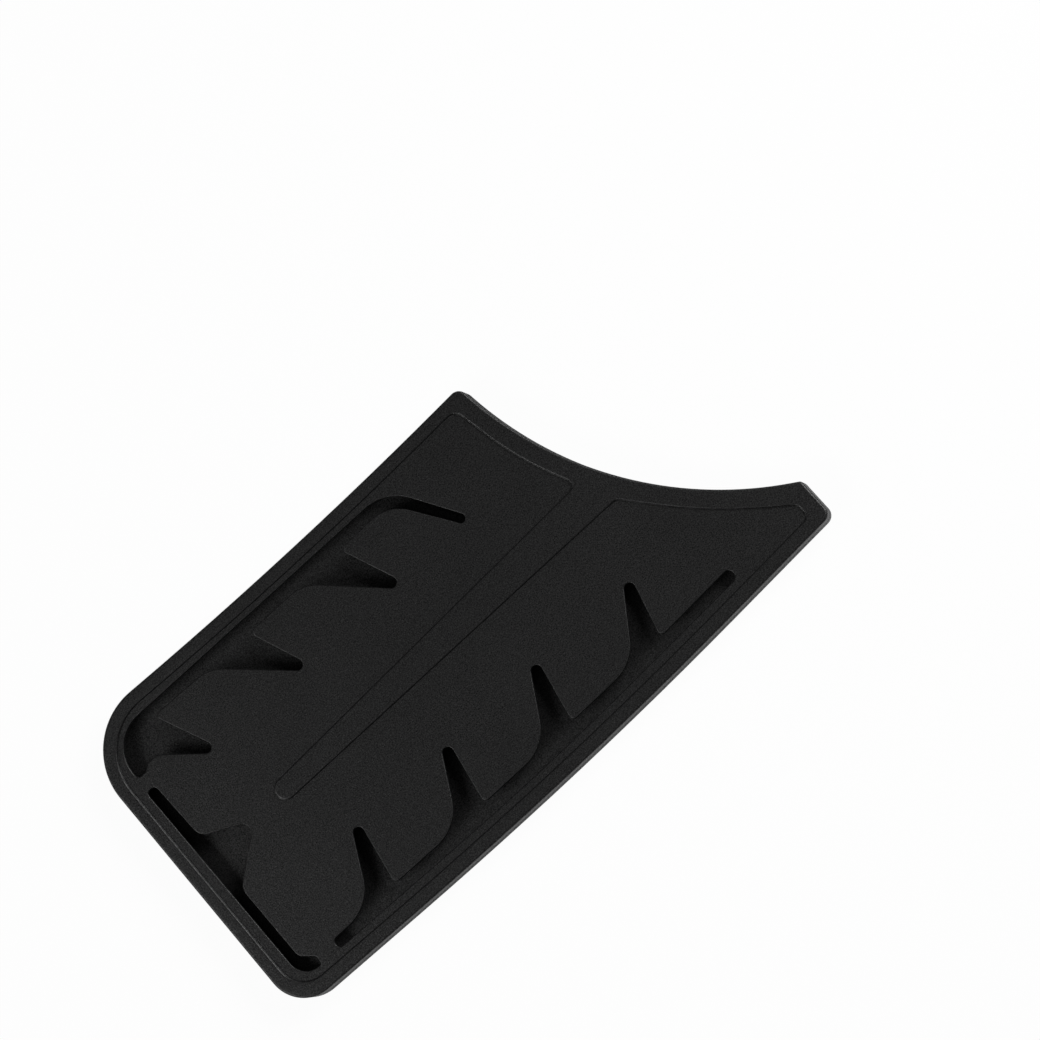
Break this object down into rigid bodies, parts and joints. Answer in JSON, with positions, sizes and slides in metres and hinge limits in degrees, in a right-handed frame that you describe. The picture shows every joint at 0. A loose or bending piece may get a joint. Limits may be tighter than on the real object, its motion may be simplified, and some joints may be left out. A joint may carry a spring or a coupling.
{
  "type": "knife blade guard",
  "caption": "Flat two-shell plastic sheath for a wide chopper blade, with spring fingers cut from its front, a raised border and rib, and a concave open mouth.",
  "frame": {"origin": "centre of the outline at the back face that it rests on", "axes": "+X along the blade towards the mouth and the handle, +Y towards the spine of the blade, +Z out of the front face"},
  "size_m": [0.2178, 0.1096, 0.0095],
  "materials": {
    "shell_plastic": "fine spark-grained black moulding"
  },
  "bodies": {
    "root": {"front_shell": "shell_plastic", "back_shell": "shell_plastic"}
  },
  "joints": []
}
